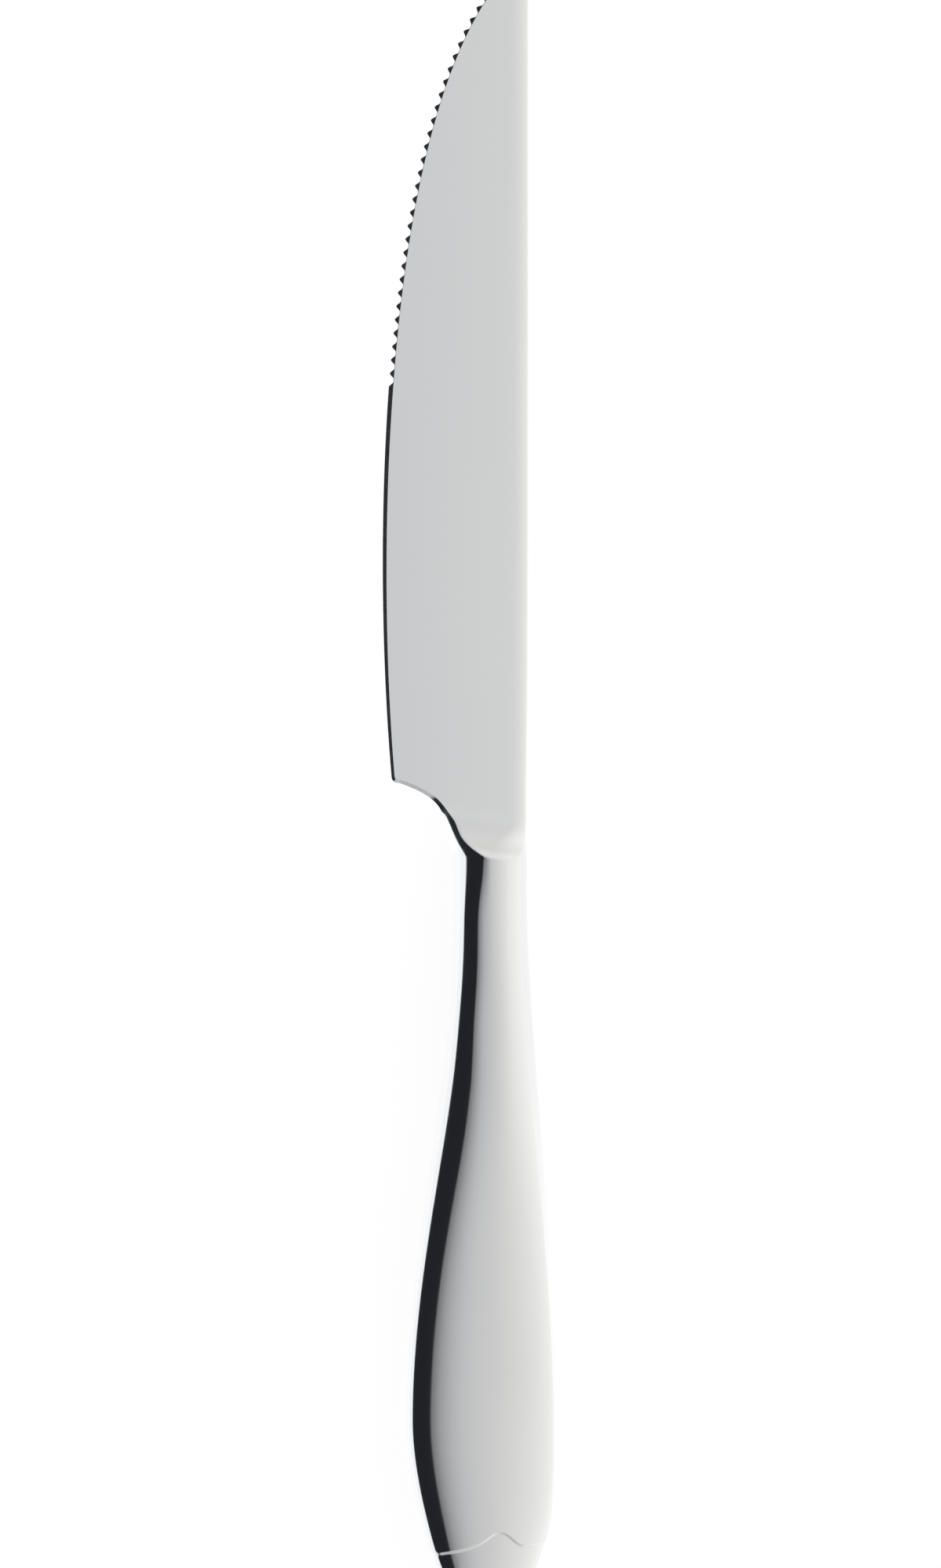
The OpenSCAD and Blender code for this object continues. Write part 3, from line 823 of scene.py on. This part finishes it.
# Noise scales per metre: grain that runs along Y, its coarser streaks as shares of it, and soft clouds
BRUSHED, ACROSS_EDGE = (9000.0, 60.0, 900.0), (900.0, 5200.0, 900.0)
STREAK_X, STREAK_Y = 0.22, 0.2
CLOUD = (90.0, 38.0, 90.0)
CLOUD_SHARE = 0.4
NOISE_LOW, NOISE_HIGH = 0.3, 0.7


def steel(name, base, rough, grain, depth, tone, lines=BRUSHED, fade=None):
    """Ground and polished stainless steel.

    grain is how much the roughness varies and tone how much the colour does. depth is the bump's in metres.
    fade gives another base and roughness, and the Y in metres where they begin and where they are reached.
    """
    mat = bpy.data.materials.new(name)
    mat.use_nodes = True
    n = Nodes(mat.node_tree)
    fine = noise(n, lines, 3.0, 0.6)
    long_streak = noise(n, (lines[0] * STREAK_X, lines[1] * STREAK_Y, lines[2]), 2.0, 0.5)
    cloud = noise(n, CLOUD, 3.0, 0.5)
    streak = n.math("ADD", n.math("MULTIPLY", fine, 0.5), n.math("MULTIPLY", long_streak, 0.5))
    level = n.math(
        "ADD", n.math("MULTIPLY", streak, 1 - CLOUD_SHARE), n.math("MULTIPLY", cloud, CLOUD_SHARE)
    )

    def coloured(base):
        low, high = [tuple(min(1, v * k) for v in base) for k in (1 - tone, 1 + tone)]
        return n.ramp(level, [(NOISE_LOW, low), (NOISE_HIGH, high)])

    colour = coloured(base)
    roughness = n.linear(streak, NOISE_LOW, NOISE_HIGH, rough - grain, rough + grain)
    if fade:
        base_end, rough_end, y_start, y_end = fade
        y = n.add("ShaderNodeSeparateXYZ", Vector=n.add("ShaderNodeTexCoord").outputs["Object"]).outputs[1]
        share = n.smooth(y, y_end, y_start, 1.0, 0.0)
        colour = n.mix(share, colour, coloured(base_end))
        roughness = n.math("MULTIPLY_ADD", share, rough_end - rough, roughness)
    shine = n.add("ShaderNodeBsdfPrincipled", Base_Color=colour, Metallic=1.0, Roughness=roughness)
    return finish_material(mat, n, shine, fine, 1.0, depth)


def cement(name):
    """Cast resin with a fine grit."""
    mat = bpy.data.materials.new(name)
    mat.use_nodes = True
    n = Nodes(mat.node_tree)
    grit = noise(n, (1400.0, 1400.0, 1400.0), 5.0, 0.6)
    colour = n.ramp(grit, [(0.35, (0.47, 0.43, 0.36)), (0.65, (0.62, 0.58, 0.5))])
    body = n.add("ShaderNodeBsdfPrincipled", Base_Color=colour, Roughness=0.78)
    return finish_material(mat, n, body, grit, 0.5, 0.0001)


SATIN, GROUND, POLISHED = (0.99, 0.992, 0.995), (0.93, 0.935, 0.94), (0.87, 0.87, 0.87)
SATIN_ROUGH, GROUND_ROUGH, POLISHED_ROUGH = 0.13, 0.1, 0.085
# The satin of the blade turns to the polish of the handle over the ramp
to_polish = (POLISHED, POLISHED_ROUGH, -0.007, -0.0106)
satin = steel("satin_blade_steel", SATIN, SATIN_ROUGH, 0.025, 1.2e-6, 0.02)
ground = steel("ground_edge_steel", GROUND, GROUND_ROUGH, 0.02, 6.0e-7, 0.02, lines=ACROSS_EDGE)
polished = steel("polished_handle_steel", POLISHED, POLISHED_ROUGH, 0.012, 4.0e-7, 0.008)
turning = steel("bolster_steel", SATIN, SATIN_ROUGH, 0.02, 8.0e-7, 0.015, fade=to_polish)
resin = cement("cast_resin_cement")

blade = blade_mesh([satin, ground, turning])
front = half_mesh("handle_front_skin", 1, [polished])
back = half_mesh("handle_back_skin", -1, [polished])
for piece, node, slot in (
    (blade, "blade", "blade_steel"),
    (front, "handle_front_half", "handle_steel"),
    (back, "handle_back_half", "handle_steel"),
):
    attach(piece, "root")
    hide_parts(node)
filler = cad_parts["tang_filler"]
filler.data.materials.clear()
filler.data.materials.append(resin)

# Studio

floor_mesh = bpy.data.meshes.new("floor")
HALF = 12.0  # half the floor's side
corners = [(-HALF, -HALF, 0), (HALF, -HALF, 0), (HALF, HALF, 0), (-HALF, HALF, 0)]
floor_mesh.from_pydata(corners, [], [(0, 1, 2, 3)])
floor = bpy.data.objects.new("floor", floor_mesh)
bpy.context.scene.collection.objects.link(floor)
floor_mat = bpy.data.materials.new("pale_floor")
floor_mat.use_nodes = True
n = Nodes(floor_mat.node_tree)
# Seen or reflected, the floor is a dim surface with a glow, so that it is white and keeps a soft shadow
GLOW, EDGE_GLOW, BLADE_GLOW, GRIP_GLOW, END_GLOW = 0.84, 0.1, 0.01, 0.12, 0.02
# Where the glow beside the spine changes to and from the grip's
GRIP_Y, END_Y = (-0.075, -0.03), (-0.115, -0.1)
UNDER_X = 0.003  # half the strip under the knife in which one side's glow turns to the other's
path = n.add("ShaderNodeLightPath")
seen = n.math("MAXIMUM", path.outputs["Is Camera Ray"], path.outputs["Is Glossy Ray"])
seen = n.math("MAXIMUM", seen, path.outputs["Is Transmission Ray"])
dim = n.add("ShaderNodeBsdfDiffuse", Color=(0.3, 0.3, 0.3, 1))
plain = n.add("ShaderNodeBsdfDiffuse", Color=(0.85, 0.85, 0.85, 1))
# Reflected, it is a little brighter beside the edge and beside the grip's spine side
place = n.add("ShaderNodeSeparateXYZ", Vector=n.add("ShaderNodeTexCoord").outputs["Object"])
beside_spine = n.smooth(place.outputs[1], *GRIP_Y, GRIP_GLOW, BLADE_GLOW)
beside_spine = n.smooth(place.outputs[1], *END_Y, END_GLOW, beside_spine)
extra = n.linear(place.outputs[0], -UNDER_X, UNDER_X, EDGE_GLOW, beside_spine)
bright = n.math("MULTIPLY_ADD", path.outputs["Is Glossy Ray"], extra, GLOW)
glow = n.add("ShaderNodeEmission", Color=(1, 1, 1, 1), Strength=bright)
both = n.add("ShaderNodeAddShader", i0=dim.outputs[0], i1=glow.outputs[0])
pick = n.add("ShaderNodeMixShader", i0=seen, i1=plain.outputs[0], i2=both.outputs[0])
out = n.add("ShaderNodeOutputMaterial")
n.tree.links.new(pick.outputs[0], out.inputs["Surface"])
floor_mesh.materials.append(floor_mat)

# The room: white all round, grey above, and a long dark card beside the cutting edge
world = bpy.data.worlds.new("studio")
bpy.context.scene.world = world
world.use_nodes = True
n = Nodes(world.node_tree)
way = n.add("ShaderNodeTexCoord").outputs["Generated"]
wx, wy, wz = n.add("ShaderNodeSeparateXYZ", Vector=way).outputs
tilt = n.math("ARCTAN2", wx, wz)
tilt_share = n.linear(tilt, -math.pi / 2, math.pi / 2)


def by_tilt(stops):
    """Brightness by the angle in degrees from overhead, which is positive towards the spine's side."""
    return n.ramp(tilt_share, [((deg + 90) / 180, level) for deg, level in stops])


# The card: its lower and upper edge in degrees from overhead, each with its soft outer line, its colour,
# and the ratios of y to x, along the knife and across it, between which it begins and ends
LOW_OUTER, CARD_LOW, CARD_HIGH, HIGH_OUTER = -72.5, -70.5, -29.5, -28.2
CARD_COLOUR = (0.017, 0.0185, 0.022, 1)
CARD_BEGINS, CARD_ENDS = (-1.3, -1.05), (0.8, 1.0)
spine_side = [(0, 0.65), (8, 0.703), (18, 0.763), (30, 0.82), (45, 0.883), (60, 0.937)]
spine_side += [(75, 0.98), (85, 1.01), (90, 1.03)]
card_side = [(-90, 1.08), (LOW_OUTER, 1.08), (CARD_LOW, 0.2), (CARD_HIGH, 0.2), (-28, 0.215), (-25, 0.26)]
card_side += [(-20, 0.375), (-14, 0.48), (-8, 0.57)]
beside_card = by_tilt(card_side + spine_side)
no_card = [(-90, 1.08), (-72, 1.0), (-66, 0.6), (-50, 0.45), (-29, 0.45), (-14, 0.55)]
clear = by_tilt(no_card + spine_side)
behind = [(-90, 0.95), (-72, 0.75), (-65, 0.55), (-45, 0.48), (-30, 0.55), (-12, 0.62), (0, 0.64)]
behind += [(27, 0.67), (53, 0.78), (75, 0.92)]
handle_end = by_tilt(behind)
# Towards the tip the brightness goes by the sideways part of the direction, and it is higher near the horizon
sideways = n.linear(wx, -1.0, 1.0)
tip_high = [(0.0, 0.5), (0.25, 0.54), (0.5, 0.585), (0.54, 0.61), (0.58, 0.69), (0.65, 0.79), (0.69, 0.84)]
tip_high = n.ramp(sideways, [*tip_high, (0.85, 0.93)])
tip_low = n.ramp(sideways, [(0.0, 0.6), (0.4, 0.72), (0.52, 0.77), (0.6, 0.84), (0.69, 0.99)])
tip_end = n.mix(n.smooth(wz, 0.04, 0.3, 1.0, 0.0), tip_high, tip_low)
# Past the card's ends, at the handle's end and at the heel, the room is clear of it, but not overhead
along_card = n.math("DIVIDE", wy, n.math("MAXIMUM", n.math("ABSOLUTE", wx), 0.001))
begins, stays = n.smooth(along_card, *CARD_BEGINS), n.smooth(along_card, *CARD_ENDS, 1.0, 0.0)
card_length = n.math("MULTIPLY", begins, stays)
near_card = n.math("MAXIMUM", card_length, n.smooth(wz, 0.86, 0.93))
sky = n.mix(near_card, clear, beside_card)
sky = n.mix(n.smooth(n.math("MULTIPLY", wy, -1.0), 0.3, 0.9), sky, handle_end)
sky = n.mix(n.smooth(wy, 0.1, 0.65), sky, tip_end)
tilt_deg = n.math("MULTIPLY", tilt, 180 / math.pi)
above_low = n.smooth(tilt_deg, LOW_OUTER, CARD_LOW)
below_high = n.smooth(tilt_deg, CARD_HIGH, HIGH_OUTER, 1.0, 0.0)
card_height = n.math("MULTIPLY", above_low, below_high)
sky = n.mix(n.math("MULTIPLY", card_height, card_length), sky, CARD_COLOUR)
# Cool towards the edge, neutral overhead, warm towards the spine
cool, mild, neutral = (0.95, 0.97, 1.0), (0.978, 0.986, 1.0), (0.995, 0.998, 1.0)
less_warm, warm = (1.0, 1.0, 0.99), (1.0, 1.0, 0.978)
stops = [(0.1, cool), (0.42, cool), (0.47, mild), (0.505, neutral), (0.56, less_warm), (0.75, warm)]
tinted = n.mix(1.0, sky, n.ramp(tilt_share, stops), blend="MULTIPLY")
path = n.add("ShaderNodeLightPath")
room = n.add("ShaderNodeBackground", Color=tinted, Strength=1.0)
white = n.add("ShaderNodeBackground", Color=(1, 1, 1, 1), Strength=1.0)
pick = n.add("ShaderNodeMixShader", i0=path.outputs["Is Camera Ray"], i1=room.outputs[0], i2=white.outputs[0])
out = n.add("ShaderNodeOutputWorld")
n.tree.links.new(pick.outputs[0], out.inputs["Surface"])

# The camera looks straight down on the length of the knife that the photograph shows
PHOTO_H, PX_PER_MM = 2000, 8.9
# How far the heel of the spine is right of the picture's middle, and y = 0 under it
SPINE_PX, MIDDLE_PX = 71.8, 0.5
SENSOR_MM, LENS_MM = 36, 200
camera_data = bpy.data.cameras.new("camera")
camera_data.sensor_width = SENSOR_MM
camera_data.lens = LENS_MM
camera_data.clip_end = 50
camera = bpy.data.objects.new("camera", camera_data)
bpy.context.scene.collection.objects.link(camera)
height = PHOTO_H / PX_PER_MM / 1000 / SENSOR_MM * LENS_MM
camera.location = (
    (spine_x - SPINE_PX / PX_PER_MM) / 1000,
    MIDDLE_PX / PX_PER_MM / 1000,
    mid_z / 1000 + height,
)
bpy.context.scene.camera = camera
bpy.context.scene.view_settings.view_transform = "Standard"
